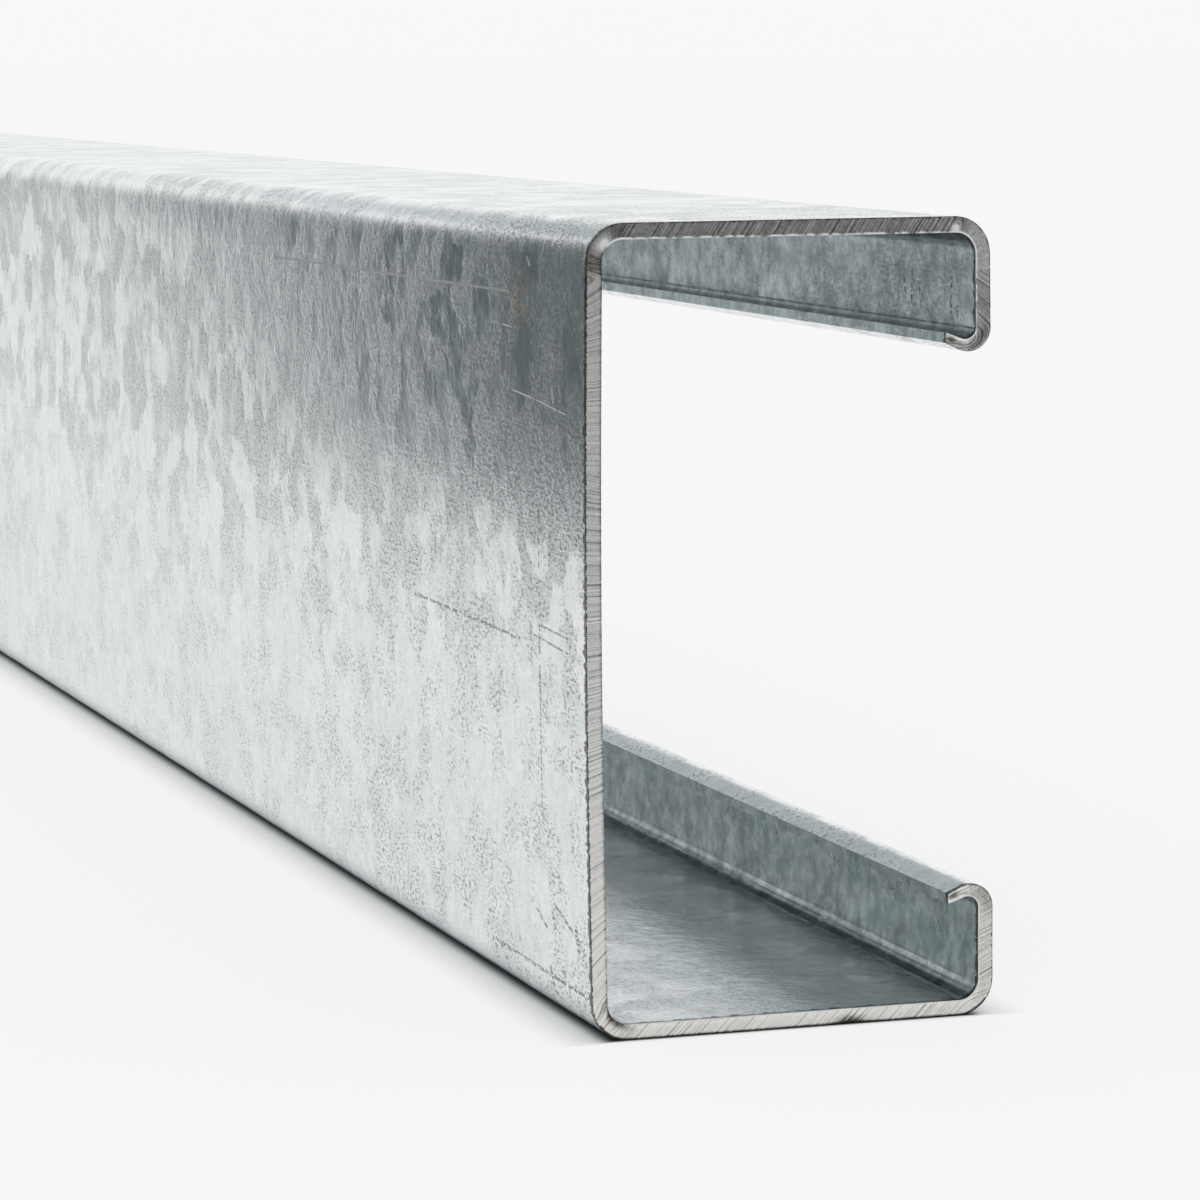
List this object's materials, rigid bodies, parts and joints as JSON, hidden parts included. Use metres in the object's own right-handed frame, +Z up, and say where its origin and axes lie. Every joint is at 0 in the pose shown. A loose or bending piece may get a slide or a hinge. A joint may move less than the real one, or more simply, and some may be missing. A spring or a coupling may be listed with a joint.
{
  "type": "c purlin",
  "caption": "Straight length of cold-rolled galvanised steel C section with lips whose edges are rolled over and back into the channel.",
  "frame": {"origin": "middle of the foot of the bounding box: on the lower flange's outer face, at mid length and mid width", "axes": "+Y along the stock, +X from the web towards the open side and the lips, +Z up the web from the lower flange to the upper one"},
  "size_m": [0.08, 3, 0.15],
  "materials": {
    "galvanised_steel": "hot-dip zinc with spangle, semi-gloss; bare sawn steel at the two ends"
  },
  "bodies": {
    "root": {"purlin": "galvanised_steel"}
  },
  "joints": []
}
